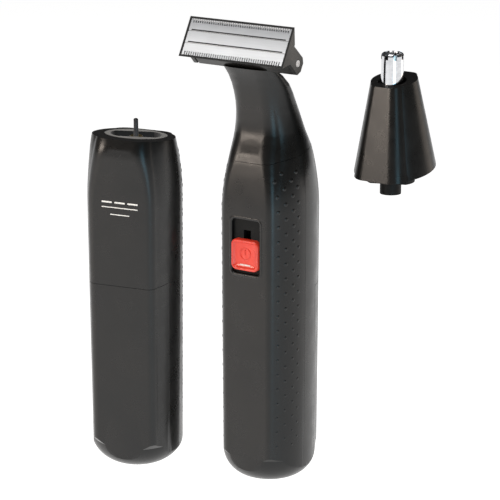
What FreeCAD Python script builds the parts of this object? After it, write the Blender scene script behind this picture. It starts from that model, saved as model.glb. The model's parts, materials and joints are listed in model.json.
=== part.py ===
import FreeCAD, Part
import math
import os
import Sketcher

# A battery hair trimmer set: a handle with its T-shaped shaver head fitted, a second handle with its
# socket open, and a loose cone head for the nose. Lengths are in millimetres and angles in degrees.
# Each handle and head is drawn upright, with the foot of the handle at z = 0 and the handle's front
# towards -Y, and its placement then stands it in the set. The set's origin is in the fitted handle's grip.

SIZES = {
    # Handle body: half sizes of its widest section, and the points where its flats and corners meet.
    "half_width": 13.8, "front_depth": 13.6, "back_depth": 13.6, "parting_depth": 1.0,
    "front_flat": 6.9, "front_corner_x": 9.7, "front_corner_y": 12.1,
    "back_flat": 8.0, "back_corner_x": 10.6, "back_corner_y": 11.4,
    "foot_scale": 0.975, "waist_scale": 0.995, "waist_level": 60.0, "belly_level": 88.0,
    "foot_dome": 60.0, "foot_flat": 7.5, "foot_rise": 0.7, "foot_corner": 9.0, "foot_edge": 14.6,
    "wall": 1.8, "deck": 2.4, "shell_gap": 0.08,
    # Seam between handle and head: a plane that rises towards the back, with a rounder section.
    "seam_level": 105.9, "seam_rise": 0.194, "seam_half_width": 12.4, "seam_half_depth": 12.5,
    "seam_centre": 0.7, "round_corner": 0.71, "round_flat": 0.32, "head_gap": 0.12,
    "shoulder_level": 97.0, "shoulder_blend": 0.3,
    # Grip, battery cover and case screws.
    "grip_height": 55.0, "cover_front": 6.3, "cover_top": 62.6, "cover_gap": 0.15,
    "screw_x": 9.3, "screw_level": 28.0, "screw_radius": 0.9, "screw_head": 1.7, "boss_radius": 2.0,
    # Battery, motor and drive.
    "battery_radius": 7.1, "battery_y": 2.3, "battery_foot": 8.5, "battery_length": 49.0,
    "motor_radius": 6.3, "motor_foot": 66.3, "motor_length": 21.5, "drive_y": -1.8,
    "shaft_radius": 1.0, "hub_radius": 2.15, "hub_foot": 92.5, "hub_top": 105.0,
    "pin_radius": 0.7, "pin_top": 110.4, "pin_shank": 0.5, "running_fit": 0.06,
    # Socket ring with its double-D opening, and the cup below it.
    "ring_radius": 9.2, "ring_foot": 99.0, "socket_radius": 7.6, "socket_flat": 5.15, "socket_turn": 21.0,
    "socket_fit": 0.15, "cup_radius": 8.9, "cup_foot": 95.0,
    # Switch on the front flat.
    "window_half": 5.1, "window_foot": 68.8, "window_top": 86.1, "button_half": 4.9,
    "button_foot": 70.1, "button_height": 9.8, "button_stand": 0.9, "liner_depth": 1.0, "switch_travel": 5.8,
    # Neck of the shaver head.
    "collar_radius": 10.1, "boss_foot": 102.4, "peg_radius": 3.3, "peg_foot": 98.4, "peg_wall": 0.9,
    "neck_wall": 1.7, "pivot_y": -13.5, "pivot_level": 136.2, "bar_half": 16.9,
    "crank_throw": 0.4, "lever_level": 124.5, "lever_half": 0.8,
    # Blade frame, measured from the tilt pivot: out of the blade's plane, and up along it.
    "blade_lean": 30.0, "frame_half": 18.55, "frame_front": 7.3, "frame_back": 4.5,
    "frame_low": 4.35, "frame_high": 8.6, "cheek": 1.35, "pivot_pin": 1.05,
    "tooth_pitch": 0.8, "tooth_slot": 0.34, "tooth_depth": 1.2, "blade_thick": 0.5,
    # Nose head.
    "skirt_radius": 12.7, "skirt_centre": 1.2, "cone_top_level": 133.9, "cone_top_radius": 7.2,
    "cone_top_centre": -0.3, "tube_radius": 3.5, "tube_bore": 3.0, "tube_top": 142.4, "tube_slots": 8.0,
    # Where the second handle and the nose head stand.
    "spare_x": -28.0, "spare_y": -32.1, "spare_lift": 10.3, "spare_yaw": 197.1, "spare_pitch": -2.3,
    "spare_roll": -6.6, "nose_x": 31.1, "nose_y": 20.3, "nose_lift": -6.6,
}

doc = FreeCAD.newDocument("trimmer_set")
sheet = doc.addObject("Spreadsheet::Sheet", "Sizes")


class Size:
    """A number together with the sheet expression that gives it."""

    def __init__(self, value, text):
        self.value = float(value)
        self.text = text

    def __add__(self, other):
        other = as_size(other)
        return Size(self.value + other.value, f"({self.text} + {other.text})")

    def __sub__(self, other):
        other = as_size(other)
        return Size(self.value - other.value, f"({self.text} - {other.text})")

    def __mul__(self, other):
        other = as_size(other)
        return Size(self.value * other.value, f"({self.text} * {other.text})")

    def __truediv__(self, other):
        other = as_size(other)
        return Size(self.value / other.value, f"({self.text} / {other.text})")

    def __neg__(self):
        return Size(-self.value, f"(0 - {self.text})")

    def __radd__(self, other):
        return self + other if other else self

    __rmul__ = __mul__

    def __rsub__(self, other):
        return as_size(other) - self


def as_size(value):
    return value if isinstance(value, Size) else Size(value, f"({value})")


def fill_sheet():
    for row, (alias, value) in enumerate(SIZES.items(), start=1):
        sheet.set(f"A{row}", alias.replace("_", " "))
        sheet.set(f"B{row}", str(value))
        sheet.setAlias(f"B{row}", alias)
    doc.recompute()


def size(alias):
    return Size(SIZES[alias], f"Sizes.{alias}")


def bind(thing, **properties):
    """Set properties of a document object, each tied to the sheet."""
    for name, value in properties.items():
        value = as_size(value)
        setattr(thing, name, value.value)
        thing.setExpression(name, value.text)


def bind_base(thing, x, y, z):
    for axis, value in zip("xyz", (x, y, z)):
        thing.setExpression(f"Placement.Base.{axis}", as_size(value).text)


# ---------------------------------------------------------------- sketches and simple bodies


def edge_shape(start, end, radius):
    """A line, or the arc of that radius that bulges to the right of start to end."""
    if radius is None:
        return Part.LineSegment(start, end)
    chord = end - start
    reach = math.sqrt(max(radius ** 2 - chord.Length ** 2 / 4, 0.0))
    left = FreeCAD.Vector(-chord.y, chord.x, 0).normalize()
    centre = (start + end) * 0.5 + left * reach
    first = math.atan2(start.y - centre.y, start.x - centre.x)
    last = math.atan2(end.y - centre.y, end.x - centre.x)
    return Part.ArcOfCircle(Part.Circle(centre, FreeCAD.Vector(0, 0, 1), radius), first, last)


def draw(sketch, corners):
    """Draw a closed outline, counter-clockwise. A corner is (across, up) or (across, up, arc radius),
    where the radius is that of the convex arc from this corner to the next."""
    first = sketch.GeometryCount
    count = len(corners)
    points = [FreeCAD.Vector(as_size(c[0]).value, as_size(c[1]).value, 0) for c in corners]
    for index, corner in enumerate(corners):
        radius = as_size(corner[2]).value if len(corner) > 2 else None
        sketch.addGeometry(edge_shape(points[index], points[(index + 1) % count], radius), False)
    for index, corner in enumerate(corners):
        edge = first + index
        following = first + (index + 1) % count
        sketch.addConstraint(Sketcher.Constraint("Coincident", edge, 2, following, 1))
        for kind, value in (("DistanceX", as_size(corner[0])), ("DistanceY", as_size(corner[1]))):
            place = sketch.addConstraint(Sketcher.Constraint(kind, -1, 1, edge, 1, value.value))
            sketch.setExpression(f"Constraints[{place}]", value.text)
        if len(corner) > 2:
            radius = as_size(corner[2])
            place = sketch.addConstraint(Sketcher.Constraint("Radius", edge, radius.value))
            sketch.setExpression(f"Constraints[{place}]", radius.text)


def plane_sketch(body, name, role, offset=0.0):
    """A sketch on one of the body's origin planes, moved off it by offset."""
    plane = next(item for item in body.Origin.OriginFeatures if item.Role == role)
    sketch = body.newObject("Sketcher::SketchObject", name)
    sketch.AttachmentSupport = [(plane, "")]
    sketch.MapMode = "FlatFace"
    offset = as_size(offset)
    sketch.AttachmentOffset = FreeCAD.Placement(FreeCAD.Vector(0, 0, offset.value), FreeCAD.Rotation())
    sketch.setExpression("AttachmentOffset.Base.z", offset.text)
    return sketch


def new_body(label):
    body = doc.addObject("PartDesign::Body", label)
    body.Label = label
    return body


def turned(label, corners, centre_y=0.0):
    """A solid of revolution about the vertical line x = 0, y = centre_y, from a (radius, z) outline."""
    body = new_body(label)
    sketch = plane_sketch(body, label + "_half", "XZ_Plane")
    draw(sketch, corners)
    turn = body.newObject("PartDesign::Revolution", label + "_turn")
    turn.Profile = sketch
    turn.ReferenceAxis = (sketch, ["V_Axis"])
    turn.Angle = 360.0
    bind_base(body, 0.0, centre_y, 0.0)
    return body


def tube(label, outer, inner, low, high, centre_y=0.0):
    """A turned ring or, where inner is 0, a turned rod."""
    return turned(label, [(inner, low), (outer, low), (outer, high), (inner, high)], centre_y)


def side_cut(label, corners, low_x, high_x):
    """A prism along X from low_x to high_x, from a (y, z) outline."""
    body = new_body(label)
    sketch = plane_sketch(body, label + "_side", "YZ_Plane", low_x)
    draw(sketch, corners)
    pad = body.newObject("PartDesign::Pad", label + "_pad")
    pad.Profile = sketch
    bind(pad, Length=as_size(high_x) - as_size(low_x))
    return body


def box(label, x, y, z):
    """A box from pairs of limits along each axis."""
    block = doc.addObject("Part::Box", label)
    limits = [(as_size(low), as_size(high)) for low, high in (x, y, z)]
    lengths = [high - low for low, high in limits]
    bind(block, Length=lengths[0], Width=lengths[1], Height=lengths[2])
    bind_base(block, *(low for low, _ in limits))
    return block


def rod(label, radius, low, high, x=0.0, y=0.0):
    """An upright cylinder."""
    cylinder = doc.addObject("Part::Cylinder", label)
    low = as_size(low)
    bind(cylinder, Radius=radius, Height=as_size(high) - low)
    bind_base(cylinder, x, y, low)
    return cylinder


def cross_rod(label, radius, start, length, turn):
    """A cylinder lying down from start: turn is the rotation that lays it along its axis."""
    cylinder = doc.addObject("Part::Cylinder", label)
    bind(cylinder, Radius=radius, Height=length)
    cylinder.Placement = FreeCAD.Placement(FreeCAD.Vector(), turn)
    bind_base(cylinder, *start)
    return cylinder


ALONG_X = FreeCAD.Rotation(FreeCAD.Vector(0, 1, 0), 90)
ALONG_Y = FreeCAD.Rotation(FreeCAD.Vector(1, 0, 0), -90)


def joined(label, pieces):
    fuse = doc.addObject("Part::MultiFuse", label)
    fuse.Shapes = pieces
    fuse.Refine = True
    return fuse


def shared(label, pieces):
    common = doc.addObject("Part::MultiCommon", label)
    common.Shapes = pieces
    return common


def cut(label, solid, tools):
    """The solid with all the tools taken out of it."""
    result = doc.addObject("Part::Cut", label)
    result.Base = solid
    result.Tool = tools[0] if len(tools) == 1 else joined(label + "_tools", tools)
    result.Refine = False
    return result


# ---------------------------------------------------------------- sections of the handle and the necks


def bent(across, along):
    """Radius of the arc that leaves one point square to along and reaches a point across and along away."""
    return (across * across + along * along) / (2 * across)


def section(half_width, front, back, parting, front_flat, front_corner, back_flat, back_corner):
    """Corners of a rounded eight-sided section. front and back are y values; a corner is (x, y)."""
    front_x, front_y = front_corner
    back_x, back_y = back_corner
    front_turn = bent(front_y - front, front_x - front_flat)
    back_turn = bent(back - back_y, back_x - back_flat)
    front_side = bent(half_width - front_x, parting - front_y)
    back_side = bent(half_width - back_x, back_y - parting)
    return [
        (-front_flat, front), (front_flat, front, front_turn), (front_x, front_y, front_side),
        (half_width, parting, back_side), (back_x, back_y, back_turn), (back_flat, back),
        (-back_flat, back, back_turn), (-back_x, back_y, back_side),
        (-half_width, parting, front_side), (-front_x, front_y, front_turn),
    ]


def belly_values(scale, inset):
    """The handle's widest section, scaled, and drawn in by a wall's thickness."""
    return {
        "half_width": size("half_width") * scale - inset,
        "front": -(size("front_depth") * scale) + inset,
        "back": size("back_depth") * scale - inset,
        "parting": -(size("parting_depth") * scale),
        "front_flat": size("front_flat") * scale - inset * 0.3,
        "front_x": size("front_corner_x") * scale - inset * 0.6,
        "front_y": -(size("front_corner_y") * scale) + inset * 0.8,
        "back_flat": size("back_flat") * scale - inset * 0.4,
        "back_x": size("back_corner_x") * scale - inset * 0.7,
        "back_y": size("back_corner_y") * scale - inset * 0.7,
    }


def round_values(half_width, half_depth, centre, corner, inset):
    """A rounder section about y = centre, whose corners lie at one share of both half sizes."""
    wide = half_width - inset
    deep = half_depth - inset
    flat = wide * size("round_flat")
    return {
        "half_width": wide, "front": centre - deep, "back": centre + deep, "parting": centre,
        "front_flat": flat, "front_x": wide * corner, "front_y": centre - deep * corner,
        "back_flat": flat, "back_x": wide * corner, "back_y": centre + deep * corner,
    }


def seam_values(inset):
    return round_values(size("seam_half_width"), size("seam_half_depth"), size("seam_centre"),
                        size("round_corner"), inset)


def blend(low, high, share):
    return {key: low[key] + (high[key] - low[key]) * share for key in low}


def outline(values):
    return section(values["half_width"], values["front"], values["back"], values["parting"],
                   values["front_flat"], (values["front_x"], values["front_y"]),
                   values["back_flat"], (values["back_x"], values["back_y"]))


def lofted(label, levels):
    """A body of straight runs through sections, each (z, values)."""
    body = new_body(label)
    sketches = []
    for number, (level, values) in enumerate(levels):
        sketch = plane_sketch(body, f"{label}_section{number}", "XY_Plane", level)
        draw(sketch, outline(values))
        sketches.append(sketch)
    loft = body.newObject("PartDesign::AdditiveLoft", label + "_loft")
    loft.Profile = sketches[0]
    loft.Sections = sketches[1:]
    loft.Ruled = True
    return body


# Stations of the neck above the seam: z, half width, half depth, centre and corner share.
NECK = [(112.0, 11.0, 9.8, 0.0, 0.72), (120.0, 9.5, 8.1, -2.1, 0.74), (128.0, 9.0, 6.0, -6.1, 0.78),
        (134.0, 8.6, 2.9, -12.9, 0.8)]


def stations(inset):
    """Levels and sections that the handle's and the neck's outlines pass through."""
    belly = belly_values(as_size(1.0), inset)
    seam = seam_values(inset)
    found = [
        (SIZES["waist_level"], belly_values(size("waist_scale"), inset)),
        (SIZES["belly_level"], belly),
        (SIZES["shoulder_level"], blend(belly, seam, size("shoulder_blend"))),
        (SIZES["seam_level"], seam),
    ]
    for level, half_width, half_depth, centre, corner in NECK:
        measures = [as_size(value) for value in (half_width, half_depth, centre, corner)]
        found.append((level, round_values(*measures, inset)))
    return found


def smooth_section(known, level):
    """Section values at a level, on a smooth curve through the stations."""
    last = len(known) - 2
    index = next((i for i in range(last + 1) if level <= known[i + 1][0]), last)
    start, end = known[index][0], known[index + 1][0]
    run = end - start
    share = (level - start) / run
    pull_start = (share ** 3 - 2 * share ** 2 + share) * run
    pull_end = (share ** 3 - share ** 2) * run
    weights = {index: 2 * share ** 3 - 3 * share ** 2 + 1, index + 1: 3 * share ** 2 - 2 * share ** 3}
    for place, pull in ((index, pull_start), (index + 1, pull_end)):
        below, above = max(place - 1, 0), min(place + 1, last + 1)
        slope = pull / (known[above][0] - known[below][0])
        weights[above] = weights.get(above, 0.0) + slope
        weights[below] = weights.get(below, 0.0) - slope
    used = [(known[place][1], round(weight, 6)) for place, weight in weights.items() if abs(weight) > 1e-6]
    return {key: sum(values[key] * weight for values, weight in used) for key in known[0][1]}


def rising_levels(inset, low, high, step=3.0):
    """Sections at even steps between two levels."""
    known = stations(inset)
    count = round((high - low) / step)
    return [(low + (high - low) * n / count, smooth_section(known, low + (high - low) * n / count))
            for n in range(count + 1)]


def seam_block(label, rise, above):
    """A block that ends at the seam's plane moved up by rise, on the upper or the lower side."""
    reach = 40.0
    far = 170.0 if above else -20.0
    level = size("seam_level") + rise
    low = level - size("seam_rise") * reach
    high = level + size("seam_rise") * reach
    corners = [(-reach, far), (reach, far), (reach, high), (-reach, low)]
    if above:
        corners = [(-reach, low), (reach, high), (reach, far), (-reach, far)]
    return side_cut(label, corners, -reach, reach)


def foot_block(label, inset):
    """A turned block whose underside is the handle's domed foot, moved up by inset."""
    reach, top = 22.0, 140.0
    rise = as_size(inset)
    return turned(label, [
        (0.0, rise, size("foot_dome")),
        (size("foot_flat"), size("foot_rise") + rise, size("foot_corner")),
        (size("foot_edge"), size("foot_corner") + rise),
        (reach, size("foot_corner") + rise + 10.0), (reach, top), (0.0, top)])


def handle_levels(inset):
    foot = (-1.0, belly_values(size("foot_scale"), inset))
    waist = (SIZES["waist_level"], belly_values(size("waist_scale"), inset))
    return [foot, waist] + rising_levels(inset, SIZES["belly_level"], 112.0)


def handle_form():
    return shared("handle_form", [lofted("handle_outside", handle_levels(as_size(0.0))),
                                  foot_block("handle_foot", 0.0),
                                  seam_block("handle_top", as_size(0.0), False)])


def handle_hollow():
    return shared("handle_hollow", [lofted("handle_inside", handle_levels(size("wall"))),
                                    foot_block("hollow_foot", size("wall") + 0.4),
                                    seam_block("hollow_top", -size("deck"), False)])


# ---------------------------------------------------------------- handle


def ring_way(name):
    """The round hole in the top deck that the socket ring sits in."""
    return rod(name + "_ring_way", size("ring_radius") + size("shell_gap"), 90.0, 115.0, y=size("drive_y"))


def front_shell(name, form, hollow):
    edge = -(size("parting_depth") + size("shell_gap") / 2)
    half = shared(name + "_half", [form, box(name + "_side", (-30.0, 30.0), (-30.0, edge), (-10.0, 130.0))])
    gap = size("window_half")
    window = box(name + "_window", (-gap, gap), (-20.0, -5.0), (size("window_foot"), size("window_top")))
    ring_hole = ring_way(name)
    thin = cut(name + "_thin", half, [hollow, window, ring_hole])
    bosses = []
    holes = []
    for side in (-1, 1):
        along = (size("screw_x") * side, as_size(-11.0), size("screw_level"))
        bosses.append(cross_rod(f"{name}_boss{side + 1}", size("boss_radius"), along, 7.0, ALONG_Y))
        along = (size("screw_x") * side, as_size(-10.2), size("screw_level"))
        holes.append(cross_rod(f"{name}_pilot{side + 1}", size("screw_radius") + 0.03, along, 8.0, ALONG_Y))
    seated = shared(name + "_bosses", [joined(name + "_boss_pair", bosses), form])
    return cut(name, joined(name + "_bossed", [thin, seated]), holes)


def back_shell(name, form, hollow):
    edge = -(size("parting_depth") - size("shell_gap") / 2)
    half = shared(name + "_half", [form, box(name + "_side", (-30.0, 30.0), (edge, 30.0), (-10.0, 130.0))])
    ring_hole = ring_way(name)
    bay = box(name + "_bay", (-30.0, 30.0), (size("cover_front"), 30.0), (-10.0, size("cover_top")))
    return cut(name, half, [hollow, ring_hole, bay])


def battery_cover(name, form, hollow):
    near = size("cover_front") + size("cover_gap")
    half = shared(name + "_half", [form, box(name + "_side", (-30.0, 30.0), (near, 30.0),
                                             (-10.0, size("cover_top") - size("cover_gap")))])
    return cut(name, half, [hollow])


def double_d(label, radius, half_flat, low, high):
    """An upright bar with two flats, turned about the drive axis."""
    bar = rod(label + "_bar", radius, low, high, y=size("drive_y"))
    flats = doc.addObject("Part::Box", label + "_flats")
    reach = 12.0
    low = as_size(low)
    bind(flats, Length=2 * reach, Width=half_flat * 2, Height=as_size(high) - low)
    turn = FreeCAD.Rotation(FreeCAD.Vector(0, 0, 1), SIZES["socket_turn"])
    corner = turn.multVec(FreeCAD.Vector(-reach, -half_flat.value, 0))
    flats.Placement = FreeCAD.Placement(
        FreeCAD.Vector(corner.x, corner.y + SIZES["drive_y"], low.value), turn)
    return shared(label, [bar, flats])


def socket_ring(name):
    body = rod(name + "_rim", size("ring_radius"), size("ring_foot"), 115.0, y=size("drive_y"))
    trimmed = shared(name + "_trimmed", [body, seam_block(name + "_plane", as_size(0.0), False)])
    opening = double_d(name + "_opening", size("socket_radius"), size("socket_flat"), 90.0, 120.0)
    return cut(name, trimmed, [opening])


def socket_cup(name):
    floor = size("cup_foot") + 1.2
    rim = size("ring_foot")
    hole = size("hub_radius") + 0.2
    outer = size("cup_radius")
    return turned(name, [(hole, size("cup_foot")), (outer, size("cup_foot")), (outer, rim),
                         (outer - 1.1, rim), (outer - 1.1, floor), (hole, floor)], size("drive_y"))


def chassis(name):
    """Cradle for the battery below and the motor above, with two ears for the case screws."""
    drive_y = size("drive_y")
    bulkhead = size("battery_foot") + size("battery_length") + 1.7
    motor_top = size("motor_foot") + size("motor_length")
    ear = size("screw_level")
    solids = [
        box(name + "_cradle", (-7.2, 7.2), (-7.5, -1.2), (6.5, bulkhead)),
        box(name + "_floor", (-5.6, 5.6), (-6.4, 5.8), (3.4, 4.4)),
        box(name + "_heel", (-5.6, 5.6), (-6.4, -5.0), (4.0, 7.0)),
        box(name + "_ears", (-11.2, 11.2), (-4.0, -2.2), (ear - 3.5, ear + 3.5)),
        box(name + "_seat", (-8.4, 8.4), (-8.9, 3.9), (bulkhead, motor_top + 2.2)),
        rod(name + "_tower", 5.0, motor_top + 2.0, size("cup_foot"), y=drive_y),
    ]
    clear = size("battery_radius") + 0.2
    fit = size("motor_radius") + 0.1
    tools = [
        rod(name + "_battery_bed", clear, 4.4, bulkhead, y=size("battery_y")),
        rod(name + "_motor_bed", fit, size("motor_foot") - 2.1, motor_top + 0.1, y=drive_y),
        box(name + "_motor_way", (-fit, fit), (drive_y, 10.0), (size("motor_foot") - 2.1, motor_top + 0.1)),
        rod(name + "_shaft_way", size("hub_radius") + 0.3, motor_top, 100.0, y=drive_y),
    ]
    for side in (-1, 1):
        start = (size("screw_x") * side, as_size(-6.0), ear)
        way = size("screw_radius") + 0.2
        tools.append(cross_rod(f"{name}_screw_way{side + 1}", way, start, 6.0, ALONG_Y))
    return cut(name, joined(name + "_frame", solids), tools)


def motor_can(name):
    low, high = size("motor_foot"), size("motor_foot") + size("motor_length")
    bore = size("shaft_radius") + size("running_fit")
    return turned(name, [(bore, low), (size("motor_radius"), low), (size("motor_radius"), high - 0.6),
                         (size("motor_radius") - 0.6, high), (bore, high)], size("drive_y"))


def motor_cap(name):
    return tube(name, size("motor_radius") - 0.2, size("shaft_radius") + size("running_fit"),
                size("motor_foot") - 2.0, size("motor_foot"), size("drive_y"))


def motor_shaft(name):
    low, high = size("motor_foot") - 1.0, size("hub_foot") + 6.0
    return tube(name, size("shaft_radius"), 0.0, low, high, size("drive_y"))


def drive_hub(name):
    """Brass hub on the shaft, with a blind bore below for the shaft and one above for the pin."""
    shaft = size("shaft_radius") + 0.02
    pin = size("pin_shank") + 0.02
    outer, foot, top = size("hub_radius"), size("hub_foot"), size("hub_top")
    return turned(name, [(shaft, foot), (outer, foot), (outer, top - 0.4), (outer - 0.4, top), (pin, top),
                         (pin, top - 3.0), (0.0, top - 3.0), (0.0, foot + 6.05), (shaft, foot + 6.05)],
                  size("drive_y"))


def drive_pin(name):
    """Pin that stands on the hub, with a thinner shank pressed into it."""
    radius, shank = size("pin_radius"), size("pin_shank")
    foot, seat, top = size("hub_top") - 2.95, size("hub_top"), size("pin_top")
    return turned(name, [(0.0, foot), (shank, foot), (shank, seat), (radius, seat),
                         (radius, top - 0.25), (radius - 0.25, top), (0.0, top)], size("drive_y"))


def battery(name):
    low = size("battery_foot")
    high = low + size("battery_length")
    outer = size("battery_radius")
    return turned(name, [(0.0, low), (outer - 0.5, low), (outer, low + 0.5), (outer, high - 0.5),
                         (outer - 0.5, high), (2.7, high), (2.7, high + 1.2), (0.0, high + 1.2)],
                  size("battery_y"))


def battery_spring(name):
    """Bent leaf on the chassis floor that presses up on the battery."""
    foot, top = 4.4, size("battery_foot")
    return side_cut(name, [(-2.0, foot), (5.0, foot), (5.0, foot + 0.4), (-0.8, foot + 0.4),
                           (3.4, top - 0.4), (4.6, top - 0.4), (4.6, top), (3.0, top)], -3.0, 3.0)


def battery_plate(name):
    low = size("battery_foot") + size("battery_length") + 1.2
    return box(name, (-4.0, 4.0), (-1.0, 5.6), (low, low + 0.5))


def motor_leads(name):
    low = size("battery_foot") + size("battery_length") + 1.7
    wires = [rod(f"{name}_{side}", 0.5, low, size("motor_foot"), x=2.6 * side, y=4.6) for side in (-1, 1)]
    return joined(name, wires)


def case_screws(name):
    screws = []
    for side in (-1, 1):
        shank = (size("screw_x") * side, as_size(-9.8), size("screw_level"))
        head = (size("screw_x") * side, as_size(-2.2), size("screw_level"))
        parts = [cross_rod(f"{name}_shank{side + 1}", size("screw_radius"), shank, 7.7, ALONG_Y),
                 cross_rod(f"{name}_head{side + 1}", size("screw_head"), head, 1.3, ALONG_Y)]
        screws.append(joined(f"{name}_{side + 1}", parts))
    return joined(name, screws)


def switch_liner(name):
    face = -(size("front_depth") - size("liner_depth"))
    back = -(size("front_depth") - size("wall")) + 0.15
    gap = size("window_half") - 0.1
    low, high = size("window_foot") + 0.1, size("window_top") - 0.1
    centre = size("button_foot") + size("button_height") / 2
    solids = [box(name + "_face", (-gap, gap), (face, back + 0.8), (low, high)),
              box(name + "_flange", (-gap - 1.4, gap + 1.4), (back, back + 0.9), (low - 1.5, high + 1.5))]
    slot = box(name + "_slot", (-1.3, 1.3), (-20.0, -5.0),
               (centre - 1.8, centre + 1.8 + size("switch_travel")))
    return cut(name, joined(name + "_plate", solids), [slot])


def switch_button(name):
    """Ribbed thumb button with its stem through the slot."""
    half = size("button_half")
    front = -(size("front_depth") + size("button_stand"))
    back = -(size("front_depth") - size("liner_depth")) - 0.15
    low, high = size("button_foot"), size("button_foot") + size("button_height")
    centre = (low + high) / 2
    cap = box(name + "_cap", (-half, half), (front, back), (low, high))
    rounded = doc.addObject("Part::Fillet", name + "_rounded")
    rounded.Base = cap
    rounded.Edges = [(edge, 0.6, 0.6) for edge in edges_at(cap, front.value)]
    dish = box(name + "_dish", (-half + 1.0, half - 1.0), (front - 1.0, front + 0.3), (low + 1.0, high - 1.0))
    stem = box(name + "_stem", (-1.0, 1.0), (back - 0.3, back + 2.3), (centre - 1.5, centre + 1.5))
    return joined(name, [cut(name + "_dished", rounded, [dish]), stem])


def edges_at(solid, y):
    """Numbers of the edges that touch the plane at that y."""
    doc.recompute([solid])
    found = []
    for number, edge in enumerate(solid.Shape.Edges, start=1):
        if any(abs(vertex.Y - y) < 1e-6 for vertex in edge.Vertexes):
            found.append(number)
    return found


def switch_slider(name):
    back = -(size("front_depth") - size("liner_depth")) - 0.15
    centre = size("button_foot") + size("button_height") / 2
    return box(name, (-3.2, 3.2), (back + 2.3, back + 3.4), (centre - 4.0, centre + 4.0))


def switch_contacts(name):
    low = size("button_foot")
    strips = []
    for side in (-1, 1):
        middle = 1.9 * side
        span = (middle - 0.7, middle + 0.7)
        strips.append(box(f"{name}_{side + 1}", span, (-9.05, -8.9), (low, low + 15.0)))
    return joined(name, strips)


# ---------------------------------------------------------------- heads


def collar(name, bearing_top):
    """Plug of a head: double-D boss, peg round the drive hub, and a flange inside the head's skirt."""
    drive_y = size("drive_y")
    fit = size("socket_fit")
    flange_top = size("seam_level") + 3.6
    disc = rod(name + "_disc", size("collar_radius"), 100.0, flange_top, y=size("seam_centre"))
    flange = shared(name + "_flange", [disc, seam_block(name + "_plane", size("head_gap"), True)])
    boss = double_d(name + "_boss", size("socket_radius") - fit, size("socket_flat") - fit,
                    size("boss_foot"), flange_top)
    peg = rod(name + "_peg", size("peg_radius"), size("peg_foot"), bearing_top, y=drive_y)
    bore = rod(name + "_bore", size("peg_radius") - size("peg_wall"), 90.0, bearing_top + 5.0, y=drive_y)
    return cut(name, joined(name + "_solid", [flange, boss, peg]), [bore])


def collar_seat(name):
    """The round recess in a head's skirt that its collar's flange sits in."""
    radius, top = size("collar_radius") + 0.1, size("seam_level") + 3.7
    return rod(name + "_seat", radius, 95.0, top, y=size("seam_centre"))


def neck_levels(inset, top):
    return rising_levels(inset, 100.0, top)


def about_pivot(points):
    """(y, z) points given from the blade's tilt pivot."""
    return [(size("pivot_y") + y, size("pivot_level") + z) for y, z in points]


def neck_shell(name):
    skin = shared(name + "_skin", [lofted(name + "_outside", neck_levels(as_size(0.0), 133.0)),
                                   seam_block(name + "_plane", size("head_gap"), True)])
    bar_edge = [(0.1, -3.5), (2.6, -0.9), (2.3, 2.3), (-1.2, 3.6), (-3.9, 0.3)]
    bar = side_cut(name + "_bar", about_pivot(bar_edge), -size("bar_half"), size("bar_half"))
    root_edge = [(0.1, -3.5), (6.0, -3.6), (3.7, 0.8), (2.3, 2.3), (-1.0, 0.0)]
    root = side_cut(name + "_root", about_pivot(root_edge), -8.0, 8.0)
    hollow = lofted(name + "_inside", neck_levels(size("neck_wall"), 127.0))
    seat = collar_seat(name)
    way_edge = [(4.6, -9.2), (9.4, -9.2), (4.3, -2.0), (2.3, 1.6), (-2.4, 6.2), (-5.4, 2.6), (-0.7, -0.9),
                (1.2, -4.2)]
    lever_way = side_cut(name + "_lever_way", about_pivot(way_edge), -2.2, 2.2)
    axle_way = cross_rod(name + "_axle_way", 0.82, (0.0, -9.9, size("lever_level")), 12.0, ALONG_Y)
    pivot_ways = [cross_rod(f"{name}_pivot_way{side}", size("pivot_pin") + 0.02,
                            (start, size("pivot_y"), size("pivot_level")), 5.0, ALONG_X)
                  for side, start in enumerate((-20.0, 15.0))]
    return cut(name, joined(name + "_tee", [skin, bar, root]),
               [hollow, seat, lever_way, axle_way] + pivot_ways)


def pivot_pins(name):
    length = 3.4
    inner = size("bar_half") - 1.8
    pins = [cross_rod(f"{name}_{side}", size("pivot_pin"), (start, size("pivot_y"), size("pivot_level")),
                      length, ALONG_X)
            for side, start in enumerate((-(inner + length), inner))]
    return joined(name, pins)


def shaver_sleeve(name):
    """Sleeve on the drive pin, with its crank."""
    drive_y = size("drive_y")
    bore = size("pin_radius") + 0.12
    body = tube(name + "_body", 2.0, bore, size("hub_top") + 0.5, size("pin_top") + 0.4, drive_y)
    head = rod(name + "_head", 2.0, size("pin_top") + 0.4, size("pin_top") + 3.0, y=drive_y)
    crank_y = drive_y + size("crank_throw")
    crank = rod(name + "_crank", 0.7, size("pin_top") + 2.0, size("pin_top") + 7.0, y=crank_y)
    return joined(name, [body, head, crank])


def crank_lever(name):
    """Rocking lever from the crank to the blade, seen along X as a bent bar."""
    half = size("lever_half")
    level = size("lever_level")
    bar = side_cut(name + "_bar", about_pivot(
        [(10.7, -18.0), (12.9, -18.0), (9.3, -10.2), (3.6, -2.0), (1.6, 1.0), (-3.4, 5.0),
         (-4.1, 3.7), (0.1, -0.4), (2.4, -4.2), (6.5, -10.4)]), -half, half)
    boss = cross_rod(name + "_boss", 1.7, (0.0, -6.9, level), 4.2, ALONG_Y)
    fork = box(name + "_fork", (-2.8, 2.8), (-3.4, -0.3), (level - 9.2, level - 5.6))
    slot = box(name + "_slot", (-1.65, 1.65), (-4.0, 1.0), (level - 9.6, level - 6.6))
    axle = cross_rod(name + "_bore", 0.86, (0.0, -10.0, level), 12.0, ALONG_Y)
    return cut(name, joined(name + "_solid", [bar, boss, fork]), [slot, axle])


def lever_axle(name):
    return cross_rod(name, 0.8, (0.0, -9.8, size("lever_level")), 11.8, ALONG_Y)


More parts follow.
